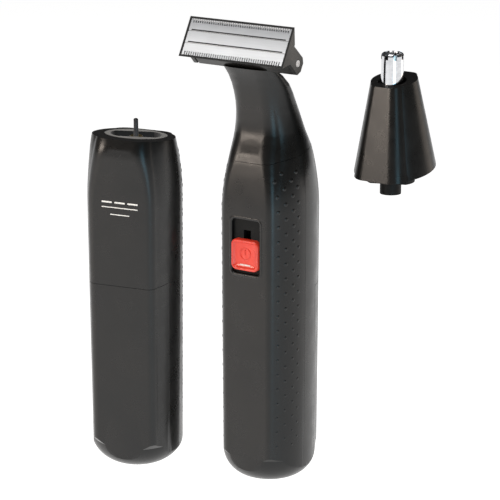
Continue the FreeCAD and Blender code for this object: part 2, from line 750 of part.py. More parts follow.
def blade_frame(name):
    """Shallow tray with an ear at each end. Drawn upright about the tilt pivot, facing -Y."""
    half = size("frame_half")
    front, back = -size("frame_front"), -size("frame_back")
    low, high = -size("frame_low"), size("frame_high")
    tray_profile = [(front, low), (back, low + 2.2), (back, high - 4.4), (front, high)]
    tray = side_cut(name + "_tray", tray_profile, -half, half)
    ear_profile = [(front, high), (front, low), (-3.8, -1.7), (1.4, -3.1),
                   (2.6, -1.5), (2.6, 1.2), (1.5, 2.5), (-4.5, 3.7)]
    ears = [side_cut(name + "_ear1", ear_profile, -half, -half + size("cheek")),
            side_cut(name + "_ear2", ear_profile, half - size("cheek"), half)]
    plate = size("blade_thick") + 0.15
    pocket = box(name + "_pocket", (-half + 0.65, half - 0.65), (front - 1.0, front + plate),
                 (low + 0.6, high - 0.6))
    cavity = box(name + "_cavity", (-half + 1.6, half - 1.6), (front - 1.0, back - 0.5),
                 (low + 2.1, high - 2.0))
    slot = box(name + "_slot", (-2.2, 2.2), (front, back + 1.0), (-0.1, 5.1))
    bore = size("pivot_pin") + size("running_fit")
    holes = cross_rod(name + "_pin_hole", bore, (-25.0, 0.0, 0.0), 50.0, ALONG_X)
    return cut(name, joined(name + "_solid", [tray] + ears), [pocket, cavity, slot, holes])


def fixed_blade(name):
    """Silver plate with a comb along both long edges and two lengthwise grooves."""
    half = size("frame_half") - 0.75
    front = -size("frame_front") + 0.1
    low, high = -size("frame_low") + 0.7, size("frame_high") - 0.7
    body = new_body(name)
    face = plane_sketch(body, name + "_face", "XZ_Plane", -front)
    draw(face, [(-half, low), (half, low), (half, high), (-half, high)])
    pad = body.newObject("PartDesign::Pad", name + "_pad")
    pad.Profile = face
    bind(pad, Length=size("blade_thick"))
    pad.Reversed = True
    start = -half + size("tooth_pitch")
    slots = plane_sketch(body, name + "_slots", "XZ_Plane", -front)
    slot = size("tooth_slot")
    for edge, reach in ((low, size("tooth_depth")), (high, -size("tooth_depth"))):
        bottom, top = (edge - 0.1, edge + reach) if reach.value > 0 else (edge + reach, edge + 0.1)
        draw(slots, [(start, bottom), (start + slot, bottom), (start + slot, top), (start, top)])
    pocket = body.newObject("PartDesign::Pocket", name + "_slot_cut")
    pocket.Profile = slots
    pocket.Type = 1
    pocket.Midplane = True
    count = int((half.value * 2 - 2 * SIZES["tooth_pitch"]) / SIZES["tooth_pitch"]) + 1
    comb = body.newObject("PartDesign::LinearPattern", name + "_comb")
    comb.Originals = [pocket]
    comb.Direction = (slots, ["H_Axis"])
    comb.Length = SIZES["tooth_pitch"] * (count - 1)
    comb.Occurrences = count
    body.Tip = comb
    third = (high - low) / 3
    grooves = [box(f"{name}_groove{number}", (-half - 1.0, half + 1.0), (front - 1.0, front + 0.15),
                   (low + third * number - 0.12, low + third * number + 0.12)) for number in (1, 2)]
    body.Label = name + "_plate"
    return cut(name, body, grooves)


def moving_blade(name):
    front = -size("frame_front") + 0.1 + size("blade_thick") + 0.15
    low, high = -size("frame_low") + 2.3, size("frame_high") - 2.2
    half = size("frame_half") - 2.6
    solids = [box(name + "_plate", (-half, half), (front, front + 0.45), (low, high)),
              box(name + "_yoke", (-2.0, 2.0), (front + 0.3, front + 1.3), (-0.9, high))]
    slot = box(name + "_slot", (-0.9, 0.9), (front - 1.0, front + 2.0), (-0.1, 5.1))
    return cut(name, joined(name + "_solid", solids), [slot])


def blade_spring(name):
    """Leaf on the bar behind the tray, which brings a tilted blade home."""
    leaf = [(-3.4, 1.5), (-3.01, 1.5), (-2.87, 2.4), (-3.35, 3.3), (-3.75, 3.2), (-3.3, 2.3)]
    return side_cut(name, leaf, 5.0, 12.0)


def cone_values(share):
    """Section of the nose head, from the seam at share 0 to its top at share 1."""
    skirt_radius, top_radius = size("skirt_radius"), size("cone_top_radius")
    corner, inset = size("round_corner"), as_size(0.0)
    skirt = round_values(skirt_radius, skirt_radius, size("skirt_centre"), corner, inset)
    top = round_values(top_radius, top_radius, size("cone_top_centre"), corner, inset)
    return blend(skirt, top, share)


def cone_shell(name):
    height = size("cone_top_level") - size("seam_level")
    over = 0.25
    below = (size("seam_level") - height * over, cone_values(as_size(-over)))
    above = (size("seam_level") + height * (1 + over), cone_values(as_size(1 + over)))
    outside = lofted(name + "_outside", [below, above])
    skin = shared(name + "_skin", [outside, seam_block(name + "_plane", size("head_gap"), True),
                                   seam_block(name + "_top", height, False)])
    seat = collar_seat(name)
    hollow = doc.addObject("Part::Cone", name + "_hollow")
    bind(hollow, Radius1=size("collar_radius") - 0.3, Radius2=size("tube_radius") + 2.7, Height=height - 6.5)
    bind_base(hollow, 0.0, size("cone_top_centre"), size("seam_level") + 3.5)
    drive_y = size("drive_y")
    bore = rod(name + "_tube_hole", size("tube_radius") + 0.05, 120.0, 150.0, y=drive_y)
    dish = rod(name + "_dish", size("tube_radius") + 0.9, size("cone_top_level") - 1.1, 150.0, y=drive_y)
    return cut(name, skin, [seat, hollow, bore, dish])


def outer_cutter(name):
    """Fixed chrome tube with radial slots round its rounded rim."""
    outer, inner, top = size("tube_radius"), size("tube_bore"), size("tube_top")
    foot = size("cone_top_level") - 5.5
    half_section = [(inner, foot), (outer, foot), (outer, top - 1.1, 1.1), (outer - 1.1, top),
                    (inner - 1.0, top), (inner - 1.0, top - 0.5), (inner, top - 0.5)]
    sleeve = turned(name + "_sleeve", half_section, size("drive_y"))
    cutters = []
    count = int(SIZES["tube_slots"])
    for number in range(count // 2):
        slot = doc.addObject("Part::Box", f"{name}_slot{number}")
        bind(slot, Length=12.0, Width=0.9, Height=4.0)
        turn = FreeCAD.Rotation(FreeCAD.Vector(0, 0, 1), 360.0 * number / count)
        corner = turn.multVec(FreeCAD.Vector(-6.0, -0.45, 0))
        slot.Placement = FreeCAD.Placement(
            FreeCAD.Vector(corner.x, corner.y + SIZES["drive_y"], SIZES["tube_top"] - 2.0), turn)
        cutters.append(slot)
    return cut(name, sleeve, cutters)


def inner_cutter(name):
    """Spinning cutter inside the tube, with four blades."""
    outer, top = size("tube_bore") - 0.1, size("tube_top") - 0.6
    cup = turned(name + "_cup", [(0.0, top - 5.0), (outer, top - 5.0), (outer, top), (outer - 0.9, top),
                                 (outer - 0.9, top - 3.4), (0.0, top - 3.4)], size("drive_y"))
    drive_y = size("drive_y")
    tools = [box(name + "_gap1", (-5.0, 5.0), (drive_y - 1.1, drive_y + 1.1), (top - 3.2, top + 1.0)),
             box(name + "_gap2", (-1.1, 1.1), (-12.0, 8.0), (top - 3.2, top + 1.0))]
    return cut(name, cup, tools)


def nose_sleeve(name):
    low, high = size("hub_top") + 0.5, size("pin_top") + 2.6
    return tube(name, 2.0, size("pin_radius") + 0.12, low, high, size("drive_y"))


def nose_spindle(name):
    foot, top = size("pin_top") + 2.6, size("tube_top") - 5.6
    flange = foot + 1.2
    return turned(name, [(0.0, foot), (1.9, foot), (1.9, flange), (1.1, flange), (1.1, top), (0.0, top)],
                  size("drive_y"))


def nose_spring(name):
    """Coil round the spindle that keeps the inner cutter against the tube's rim."""
    low, turns, radius, wire = SIZES["pin_top"] + 4.1, 5, 1.6, 0.22
    pitch = 1.5
    path = Part.makeHelix(pitch, pitch * turns, radius)
    start = FreeCAD.Vector(radius, 0, 0)
    ring = Part.Wire([Part.makeCircle(wire, start, FreeCAD.Vector(0, 1, pitch / (2 * math.pi * radius)))])
    coil = Part.Wire(path.Edges).makePipeShell([ring], True, True)
    coil.translate(FreeCAD.Vector(0, SIZES["drive_y"], low))
    spring = doc.addObject("Part::Feature", name)
    spring.Shape = coil
    return spring


def retaining_ring(name):
    low = size("cone_top_level") - 4.6
    return tube(name, size("tube_radius") + 1.0, size("tube_radius") + 0.03, low, low + 1.2, size("drive_y"))


# ---------------------------------------------------------------- the set


def standing(x, y, z, yaw=0.0, pitch=0.0, roll=0.0):
    return FreeCAD.Placement(FreeCAD.Vector(x, y, z), FreeCAD.Rotation(yaw, pitch, roll))


def stand(node, label, group):
    """Name a finished piece and move it from its own upright drawing to its place in the set."""
    node.Label = label
    for axis in "xyz":
        node.setExpression(f"Placement.Base.{axis}", None)
    node.Placement = group.multiply(node.Placement)


def build_handle(prefix, group, form, hollow):
    makers = {
        "socket_ring": socket_ring, "socket_cup": socket_cup, "chassis": chassis,
        "motor_can": motor_can, "motor_cap": motor_cap, "motor_shaft": motor_shaft,
        "drive_hub": drive_hub, "drive_pin": drive_pin, "battery": battery,
        "battery_spring": battery_spring, "battery_plate": battery_plate, "motor_leads": motor_leads,
        "case_screws": case_screws, "switch_liner": switch_liner, "switch_button": switch_button,
        "switch_slider": switch_slider, "switch_contacts": switch_contacts,
    }
    nodes = {f"{prefix}_{key}": (maker(f"{prefix}_{key}"), group) for key, maker in makers.items()}
    shells = {"front_shell": front_shell, "back_shell": back_shell, "battery_cover": battery_cover}
    for key, maker in shells.items():
        nodes[f"{prefix}_{key}"] = (maker(f"{prefix}_{key}", form, hollow), group)
    return nodes


def build_shaver_head(group):
    tilted = group * FreeCAD.Placement(
        FreeCAD.Vector(0, SIZES["pivot_y"], SIZES["pivot_level"]),
        FreeCAD.Rotation(FreeCAD.Vector(1, 0, 0), -SIZES["blade_lean"]))
    upright = {"neck_shell": neck_shell, "pivot_pins": pivot_pins, "shaver_sleeve": shaver_sleeve,
               "crank_lever": crank_lever, "lever_axle": lever_axle}
    leaning = {"blade_frame": blade_frame, "fixed_blade": fixed_blade, "moving_blade": moving_blade,
               "blade_spring": blade_spring}
    nodes = {key: (maker(key), group) for key, maker in upright.items()}
    nodes.update({key: (maker(key), tilted) for key, maker in leaning.items()})
    nodes["neck_collar"] = (collar("neck_collar", size("seam_level") + 3.6), group)
    return nodes


def build_nose_head(group):
    makers = {"cone_shell": cone_shell, "outer_cutter": outer_cutter, "inner_cutter": inner_cutter,
              "nose_sleeve": nose_sleeve, "nose_spindle": nose_spindle, "nose_spring": nose_spring,
              "retaining_ring": retaining_ring}
    nodes = {key: (maker(key), group) for key, maker in makers.items()}
    nodes["nose_collar"] = (collar("nose_collar", size("seam_level") + 4.6), group)
    return nodes


def check_state():
    for item in doc.Objects:
        if "Invalid" in item.State or "Error" in item.State:
            raise RuntimeError(f"{item.Label} failed: {item.State}")


def write(nodes):
    os.makedirs("parts", exist_ok=True)
    for label, (node, group) in sorted(nodes.items()):
        stand(node, label, group)
        if node.Shape.isNull() or not node.Shape.isValid():
            raise RuntimeError(f"{label} has no valid shape")
        node.Shape.exportStep(os.path.join("parts", f"{label}.step"))
        print(label, len(node.Shape.Solids), round(node.Shape.Volume, 1))


def main():
    fill_sheet()
    grip = -SIZES["grip_height"]
    main_group = standing(0, 0, grip)
    spare_group = standing(SIZES["spare_x"], SIZES["spare_y"], grip + SIZES["spare_lift"],
                           SIZES["spare_yaw"], SIZES["spare_pitch"], SIZES["spare_roll"])
    nose_group = standing(SIZES["nose_x"], SIZES["nose_y"] - SIZES["drive_y"], grip + SIZES["nose_lift"])
    form, hollow = handle_form(), handle_hollow()
    nodes = build_handle("main", main_group, form, hollow)
    nodes.update(build_handle("spare", spare_group, form, hollow))
    nodes.update(build_shaver_head(main_group))
    nodes.update(build_nose_head(nose_group))
    doc.recompute()
    check_state()
    write(nodes)


main()
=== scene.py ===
"""Looks for the trimmer set: a handle with its shaver head fitted, an open handle and a loose cone head."""

import json
import math

import bmesh
import bpy
from mathutils import Matrix, Vector
from mathutils.bvhtree import BVHTree

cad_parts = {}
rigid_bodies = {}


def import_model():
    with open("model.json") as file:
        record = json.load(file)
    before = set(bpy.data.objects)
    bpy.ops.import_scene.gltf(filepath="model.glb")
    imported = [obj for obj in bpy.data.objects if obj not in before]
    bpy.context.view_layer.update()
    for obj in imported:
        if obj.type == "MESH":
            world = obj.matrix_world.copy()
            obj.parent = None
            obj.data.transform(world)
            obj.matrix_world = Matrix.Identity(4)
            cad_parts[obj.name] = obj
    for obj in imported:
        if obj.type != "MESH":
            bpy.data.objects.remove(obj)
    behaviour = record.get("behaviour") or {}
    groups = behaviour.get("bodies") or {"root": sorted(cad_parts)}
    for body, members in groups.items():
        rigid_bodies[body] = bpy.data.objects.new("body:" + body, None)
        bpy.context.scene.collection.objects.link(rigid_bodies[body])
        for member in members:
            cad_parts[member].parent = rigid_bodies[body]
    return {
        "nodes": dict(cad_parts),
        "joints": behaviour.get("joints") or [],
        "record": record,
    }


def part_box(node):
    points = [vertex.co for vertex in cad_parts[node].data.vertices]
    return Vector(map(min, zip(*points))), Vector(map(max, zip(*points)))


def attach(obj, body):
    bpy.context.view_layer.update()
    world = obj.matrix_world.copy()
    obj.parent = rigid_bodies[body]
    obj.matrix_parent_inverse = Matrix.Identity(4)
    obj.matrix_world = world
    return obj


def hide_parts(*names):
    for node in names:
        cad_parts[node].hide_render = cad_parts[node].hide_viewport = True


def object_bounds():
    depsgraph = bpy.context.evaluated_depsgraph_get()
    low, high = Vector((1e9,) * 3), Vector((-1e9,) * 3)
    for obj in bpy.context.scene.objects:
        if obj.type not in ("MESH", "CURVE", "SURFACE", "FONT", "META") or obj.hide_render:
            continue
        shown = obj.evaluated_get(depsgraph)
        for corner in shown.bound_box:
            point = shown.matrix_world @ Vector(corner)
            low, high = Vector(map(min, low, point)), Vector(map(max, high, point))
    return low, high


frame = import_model()
cad_low, cad_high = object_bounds()
NODES = frame["nodes"]
JOINTS = {joint["name"]: joint for joint in frame["joints"]}
MM = 0.001

# ---------------------------------------------------------------- where each handle stands


def corners_mean(name):
    """Middle of a CAD node's vertices."""
    points = [vertex.co for vertex in NODES[name].data.vertices]
    return sum(points, Vector()) / len(points)


# The drive axis's mark above a handle's foot, and how far the axis lies before the handle's middle.
DRIVE_LEVEL = 0.095
DRIVE_SETBACK = 0.0018


def handle_frame(prefix):
    """Matrix from a handle's own upright drawing, with its foot at z = 0 and its front towards -Y."""
    spin = JOINTS[prefix + "_drive_spin"]
    up = Vector(spin["axis"]).normalized()
    on_axis = Vector(spin["pos_m"])
    away = corners_mean(prefix + "_switch_button") - on_axis
    front = (away - up * away.dot(up)).normalized()
    right = up.cross(front).normalized()
    turn = Matrix((right, -front, up)).transposed()
    origin = on_axis - turn @ Vector((0.0, -DRIVE_SETBACK, DRIVE_LEVEL))
    return Matrix.Translation(origin) @ turn.to_4x4()


HANDLES = {"main": handle_frame("main"), "spare": handle_frame("spare")}

# ---------------------------------------------------------------- materials


def linear(code):
    """Linear colour from an sRGB hex code."""
    parts = [int(code[i:i + 2], 16) / 255 for i in (1, 3, 5)]
    return tuple(c / 12.92 if c <= 0.04045 else ((c + 0.055) / 1.055) ** 2.4 for c in parts) + (1.0,)


def add(tree, kind, links=None, **settings):
    """A shader node with its settings, and links from {input: other node's socket}."""
    node = tree.nodes.new("ShaderNode" + kind)
    for name, value in settings.items():
        socket = name.replace("_", " ")
        if socket in node.inputs:
            node.inputs[socket].default_value = value
        else:
            setattr(node, name, value)
    for name, source in (links or {}).items():
        tree.links.new(source, node.inputs[name])
    return node


def material(name, **settings):
    """A material with a principled surface, its tree and object coordinates."""
    made = bpy.data.materials.new(name)
    made.use_nodes = True
    tree = made.node_tree
    surface = tree.nodes["Principled BSDF"]
    for socket, value in settings.items():
        surface.inputs[socket.replace("_", " ")].default_value = value
    place = add(tree, "TexCoord").outputs["Object"]
    return made, tree, surface, place


def grain(tree, place, size, detail=3.0, stretch=(1.0, 1.0, 1.0)):
    """Noise whose features are about size metres across, drawn out along an axis by a stretch above 1."""
    scale = tuple(1.0 / s for s in stretch)
    mapped = add(tree, "Mapping", {"Vector": place}, Scale=scale)
    return add(tree, "TexNoise", {"Vector": mapped.outputs["Vector"]}, Scale=1.0 / size, Detail=detail,
               Roughness=0.55).outputs["Fac"]


def tint(tree, surface, pattern, dark, light):
    """Base colour that drifts between two colours."""
    share = add(tree, "MapRange", {"Value": pattern}, From_Min=0.35, From_Max=0.65)
    mix = add(tree, "Mix", data_type="RGBA")
    mix.inputs[6].default_value = linear(dark)
    mix.inputs[7].default_value = linear(light)
    tree.links.new(share.outputs["Result"], mix.inputs[0])
    tree.links.new(mix.outputs[2], surface.inputs["Base Color"])


def uneven_gloss(tree, surface, pattern, low, high):
    """Roughness that drifts between two values."""
    share = add(tree, "MapRange", {"Value": pattern}, From_Min=0.35, From_Max=0.65, To_Min=low,
                To_Max=high)
    tree.links.new(share.outputs["Result"], surface.inputs["Roughness"])


def relief(tree, surface, pattern, height, strength=1.0):
    """Bump of a real height in metres."""
    bump = add(tree, "Bump", {"Height": pattern}, Strength=strength, Distance=height)
    tree.links.new(bump.outputs["Normal"], surface.inputs["Normal"])


def moulded(name, dark, light, rough, grain_size, height, **settings):
    """Moulded plastic: fine eroded grain, patches of slightly different gloss and a slow drift of colour."""
    made, tree, surface, place = material(name, IOR=1.5, **settings)
    tint(tree, surface, grain(tree, place, 0.018, 2.0), dark, light)
    uneven_gloss(tree, surface, grain(tree, place, 0.006, 4.0), *rough)
    relief(tree, surface, grain(tree, place, grain_size, 2.0), height, 0.6)
    return made


def metal(name, dark, light, rough, grain_size, stretch, height, **settings):
    """Metal whose tool marks run along the stretched axis."""
    made, tree, surface, place = material(name, Metallic=1.0, **settings)
    lines = grain(tree, place, grain_size, 2.0, stretch)
    tint(tree, surface, lines, dark, light)
    uneven_gloss(tree, surface, grain(tree, place, 0.004, 3.0), *rough)
    relief(tree, surface, lines, height, 0.5)
    return made


def painted_shade(made, share, start, end, dark, low=0.0, high=1.0):
    """The same material with painted shade: its own colour shows from low to high as share(tree) runs from
    start to end, and a dark colour is mixed in for the rest.
    """
    tree = made.node_tree
    surface = tree.nodes["Principled BSDF"]
    own = surface.inputs["Base Color"].links[0].from_socket
    kept = add(tree, "MapRange", {"Value": share(tree)}, From_Min=start, From_Max=end, To_Min=low,
               To_Max=high)
    mix = add(tree, "Mix", data_type="RGBA")
    mix.inputs[6].default_value = linear(dark)
    tree.links.new(kept.outputs["Result"], mix.inputs[0])
    tree.links.new(own, mix.inputs[7])
    tree.links.new(mix.outputs[2], surface.inputs["Base Color"])
    return made


def facing_up(tree):
    normal = add(tree, "NewGeometry").outputs["Normal"]
    return add(tree, "SeparateXYZ", {"Vector": normal}).outputs["Z"]


def height_share(tree):
    box_place = add(tree, "TexCoord").outputs["Generated"]
    return add(tree, "SeparateXYZ", {"Vector": box_place}).outputs["Z"]


def openness(tree):
    """One on open faces, less in gaps about as narrow as a tooth slot."""
    return add(tree, "AmbientOcclusion", Distance=0.0003, samples=8).outputs["AO"]


MATERIALS = {
    # Fine spark-eroded tool surface: breaks the strip lights into a soft satin sheen.
    "case_plastic": moulded("charcoal_abs_spark_eroded", "#131211", "#181614", (0.26, 0.34), 0.00028,
                            0.000003, Specular_IOR_Level=0.37),
    # Lighter moulding, pale on its rim, with painted shade making it dark down its walls, so the socket reads
    # as a separate insert.
    "ring_plastic": painted_shade(moulded("grey_nylon_moulded", "#a8a6a2", "#b6b4b0", (0.40, 0.52), 0.00030,
                                     0.000005, Specular_IOR_Level=0.16), facing_up, 0.85, 0.95, "#060606"),
    # Glass-filled, black and dull: its own black also serves as painted shade that keeps the inside of socket
    # and switch dark.
    "inner_plastic": moulded("black_glass_filled_nylon", "#0e0e0e", "#151514", (0.45, 0.6), 0.00035, 0.000008,
                             Specular_IOR_Level=0.14),
    # Smooth mould with a thin gloss: a clear edge highlight round the thumb pad.
    "button_plastic": moulded("red_abs_smooth_mould", "#e83a26", "#f04a34", (0.26, 0.34), 0.00040, 0.000003,
                              Coat_Weight=0.25, Coat_Roughness=0.15),
    # Ground along the teeth: a fine even sheen, with painted shade greying it towards the upper edge.
    "blade_steel": metal("stainless_blade_ground", "#e2e3e4", "#ececed", (0.28, 0.32), 0.00006,
                         (120.0, 1.0, 1.0), 0.0000002),
    # Turned and left bright: short marks round each pin.
    "steel": metal("steel_turned", "#8d8e90", "#b5b6b8", (0.24, 0.36), 0.00015, (6.0, 6.0, 1.0), 0.000001),
    # Barrel plated: cloudy grey with a soft gloss.
    "nickel_strip": metal("nickel_strip_plated", "#a59f92", "#c0baad", (0.28, 0.4), 0.0003, (3.0, 3.0, 1.0),
                          0.000001),
    # Plated and buffed: nearly a mirror, with faint smears that soften a few reflections.
    "chrome": metal("chrome_plated_buffed", "#d2d3d6", "#e9eaec", (0.07, 0.14), 0.0004, (4.0, 4.0, 1.0),
                    0.0000006),
    # Turned and tarnished a little: warm rings round the hub.
    "brass": metal("brass_turned", "#a8905a", "#cbb67c", (0.22, 0.34), 0.0002, (8.0, 8.0, 1.0), 0.0000015),
    # Printed sleeve shrunk on the cell: glossy, with shallow wrinkles.
    "cell_jacket": moulded("printed_shrink_sleeve", "#1d2026", "#2b2f38", (0.18, 0.26), 0.0012, 0.00002),
    # Soft extruded insulation.
    "wire_sleeve": moulded("red_pvc_extruded", "#7d1612", "#92211b", (0.4, 0.5), 0.0005, 0.000006),
}

# Painted shade on the blade: its colour greys towards the upper edge.
painted_shade(MATERIALS["blade_steel"], height_share, 0.25, 1.0, "#8e9093", 1.0, 0.2)
# Painted shade in the gaps between the teeth and in grooves as narrow as a tooth slot.
painted_shade(MATERIALS["blade_steel"], openness, 0.35, 0.8, "#1a1b1c")

# Dark steel with only a dull glint: painted shade on the moving blade, so the comb's slots read as dark, and
# on the drive pins, which are dark of their own and darker still as painted shade inside the socket.
DARK_STEEL_AND_SHADE = metal("steel_blackened", "#2b2b2c", "#3d3d3e", (0.35, 0.45), 0.0002, (3.0, 3.0, 1.0), 0.000001)

# ---------------------------------------------------------------- finish of the CAD nodes


def soften(piece, angle=30.0):
    """Smooth shading over curved faces, with every real edge kept crisp."""
    mesh = piece.data
    if "custom_normal" in mesh.attributes:
        mesh.attributes.remove(mesh.attributes["custom_normal"])
    for face in mesh.polygons:
        face.use_smooth = True
    weld = piece.modifiers.new("weld", "WELD")
    weld.merge_threshold = 0.000002
    split = piece.modifiers.new("crisp_edges", "EDGE_SPLIT")
    split.split_angle = math.radians(angle)
    return piece


slots_by_node = {part["node"]: part["material_slot"] for part in frame["record"]["subparts"]}
for node_name, node in NODES.items():
    node.data.materials.clear()
    # The moving blade and the drive pins take the dark steel: painted shade in the comb's slots and in the
    # socket.
    dark = node_name == "moving_blade" or node_name.endswith("_drive_pin")
    finish = DARK_STEEL_AND_SHADE if dark else MATERIALS[slots_by_node[node_name]]
    node.data.materials.append(finish)
    soften(node)

# ---------------------------------------------------------------- small moulded details


def sheet_mesh(name, points, faces):
    """An object of these points and faces, linked to the scene."""
    mesh = bpy.data.meshes.new(name)
    mesh.from_pydata([tuple(point) for point in points], [], faces)
    mesh.validate()
    made = bpy.data.objects.new(name, mesh)
    bpy.context.scene.collection.objects.link(made)
    return made


def loops_mesh(name, groups, close_ends=True):
    """A mesh of groups of closed loops of points, each loop joined to the next of its group."""
    points, faces = [], []
    for group in groups:
        count = len(group[0])
        first = len(points)
        for loop in group:
            points.extend(loop)
        for row in range(len(group) - 1):
            for i in range(count):
                a = first + row * count + i
                b = first + row * count + (i + 1) % count
                faces.append((a, b, b + count, a + count))
        if close_ends:
            faces.append(tuple(first + (len(group) - 1) * count + i for i in range(count)))
    return sheet_mesh(name, points, faces)


def finish_detail(piece, body, finish, angle=40.0):
    """Outward faces, shading, material and body of a piece drawn in the row frame."""
    work = bmesh.new()
    work.from_mesh(piece.data)
    bmesh.ops.recalc_face_normals(work, faces=work.faces)
    work.to_mesh(piece.data)
    work.free()
    piece.data.materials.append(finish)
    soften(piece, angle)
    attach(piece, body)
    return piece


def surface_of(name):
    """A node's surface, for finding where a small detail sits on it."""
    mesh = NODES[name].data
    return BVHTree.FromPolygons([v.co for v in mesh.vertices], [tuple(f.vertices) for f in mesh.polygons])


def facing_axes(normal, up):
    """Sideways and upward directions in the plane of a surface."""
    side = up.cross(normal).normalized()
    return side, normal.cross(side).normalized()


# Grip dots, in millimetres in a handle's own frame: the columns' places from front to back, the step between
# dots of a column, the span of the columns, the radius at the foot and what it gains towards the top.
DOT_DEPTHS = (-11.2, -9.0, -6.5, -4.5)
DOT_PITCH = 4.7
DOT_LOW, DOT_HIGH = 14.0, 101.0
DOT_SMALLEST, DOT_GROWTH = 0.42, 0.26
# A dot's height as a share of its radius.
DOT_RISE = 0.20
# How far from a handle's middle the search for its surface starts, and how far it looks, in metres.
REACH = 0.03


def grip_dots(prefix):
    """Staggered domes on both front corners of a handle, smaller towards the foot."""
    frame_of = HANDLES[prefix]
    shell = surface_of(prefix + "_front_shell")
    up = (frame_of.to_3x3() @ Vector((0, 0, 1))).normalized()
    domes = []
    for side in (-1, 1):
        inward = frame_of.to_3x3() @ Vector((-side, 0, 0))
        for column, depth in enumerate(DOT_DEPTHS):
            level = DOT_LOW + (DOT_PITCH / 2 if column % 2 else 0.0)
            while level <= DOT_HIGH:
                start = frame_of @ Vector((side * REACH, depth * MM, level * MM))
                hit, normal, _, _ = shell.ray_cast(start, inward, REACH)
                if hit is not None:
                    share = (level - DOT_LOW) / (DOT_HIGH - DOT_LOW)
                    radius = (DOT_SMALLEST + DOT_GROWTH * share) * MM
                    domes.append(dome(hit, normal, up, radius, radius * DOT_RISE))
                level += DOT_PITCH
    piece = loops_mesh(f"grip_dots_{prefix}", domes)
    return finish_detail(piece, prefix + "_handle", MATERIALS["case_plastic"], 60.0)


# A dome's outline from its foot up: share of the radius, and share of the height.
DOME_STEPS = ((1.06, -0.3), (1.0, 0.0), (0.86, 0.45), (0.6, 0.8), (0.25, 0.98))


def dome(centre, normal, up, radius, height, count=14):
    """Rings of points of a low dome that stands on a surface."""
    side, along = facing_axes(normal, up)
    loops = []
    for width, rise in DOME_STEPS:
        ring = []
        for i in range(count):
            turn = 2 * math.pi * i / count
            across = side * math.cos(turn) + along * math.sin(turn)
            ring.append(centre + across * (radius * width) + normal * (height * rise))
        loops.append(ring)
    return loops


def rounded_loop(half_x, half_z, corner, centre_z, y, steps=6):
    """Points of a rounded rectangle in a handle's front plane, in millimetres."""
    points = []
    for quarter in range(4):
        cx = (half_x - corner) * (1, -1, -1, 1)[quarter]
        cz = (half_z - corner) * (1, 1, -1, -1)[quarter]
        for step in range(steps + 1):
            turn = math.pi / 2 * (quarter + step / steps)
            points.append((cx + corner * math.cos(turn), y, centre_z + cz + corner * math.sin(turn)))
    return points


def in_row(prefix, points):
    """Points of a handle's own frame, in millimetres, taken to the row frame."""
    return [HANDLES[prefix] @ Vector((x * MM, y * MM, z * MM)) for x, y, z in points]


def in_handle(prefix, name):
    """Lowest and highest corner of a node in its handle's own frame, in millimetres."""
    back = HANDLES[prefix].inverted()
    points = [back @ vertex.co for vertex in NODES[name].data.vertices]
    return [[f(p[i] for p in points) / MM for i in range(3)] for f in (min, max)]


# How far the liner stands past the window at its sides and at its ends.
LINER_PAST_SIDE, LINER_PAST_END = 1.3, 1.4
WINDOW_CORNER = 1.3
# The lip's outline from inside the window outwards: (growth past the window, depth behind the face).
LIP_STEPS = ((-0.06, 1.0), (-0.06, 0.25), (0.14, -0.02), (0.5, -0.10), (0.95, 0.02), (1.15, 0.3))


def window_lip(prefix):
    """Soft raised frame round the switch window, with rounded inner corners."""
    low, high = in_handle(prefix, prefix + "_switch_liner")
    face = in_handle(prefix, prefix + "_front_shell")[0][1]
    half_x = high[0] - LINER_PAST_SIDE
    half_z = (high[2] - low[2]) / 2 - LINER_PAST_END
    centre = (high[2] + low[2]) / 2
    loops = []
    for grow, back in LIP_STEPS:
        outline = rounded_loop(half_x + grow, half_z + grow, WINDOW_CORNER + grow, centre, face + back)
        loops.append(in_row(prefix, outline))
    piece = loops_mesh(f"window_lip_{prefix}", [loops], close_ends=False)
    return finish_detail(piece, prefix + "_handle", MATERIALS["case_plastic"], 60.0)


PAD_CORNER, PAD_LEAST_CORNER = 1.9, 0.4
# The pad's outline from its foot over the rim to its dished middle: (growth, depth behind the rim's crest).
PAD_STEPS = ((0.0, 1.9), (0.0, 0.55), (-0.08, 0.28), (-0.25, 0.08), (-0.5, 0.0), (-0.75, 0.05), (-0.95, 0.25),
             (-1.1, 0.5), (-1.3, 0.62), (-2.4, 0.72), (-3.6, 0.76))
PAD_DISH = 0.76


def thumb_cap(prefix):
    """Thumb pad with round corners, a soft raised rim and a shallow dished face."""
    low, high = in_handle(prefix, prefix + "_switch_button")
    half_x = (high[0] - low[0]) / 2
    half_z = (high[2] - low[2]) / 2
    centre = (high[2] + low[2]) / 2
    loops = []
    for grow, back in PAD_STEPS:
        corner = max(PAD_CORNER + grow, PAD_LEAST_CORNER)
        outline = rounded_loop(half_x + grow, half_z + grow, corner, centre, low[1] + back, 8)
        loops.append(in_row(prefix, outline))
    cap = loops_mesh(f"thumb_cap_{prefix}", [loops])
    finish_detail(cap, prefix + "_switch", MATERIALS["button_plastic"], 60.0)
    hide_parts(prefix + "_switch_button")


SYMBOL_ABOVE_MIDDLE = 0.3
RING_POINTS = 48
# The ring's outline across its width: (radius, rise above the dish).
RING_STEPS = ((1.62, -0.1), (1.66, 0.12), (1.84, 0.2), (2.02, 0.12), (2.06, -0.1))
# The bar's outline upwards: (growth, rise above the dish).
BAR_STEPS = ((0.04, -0.1), (0.0, 0.14), (-0.06, 0.2))
BAR_HALF_WIDTH, BAR_HALF_HEIGHT, BAR_CORNER, BAR_ABOVE_RING = 0.2, 0.85, 0.15, 0.5


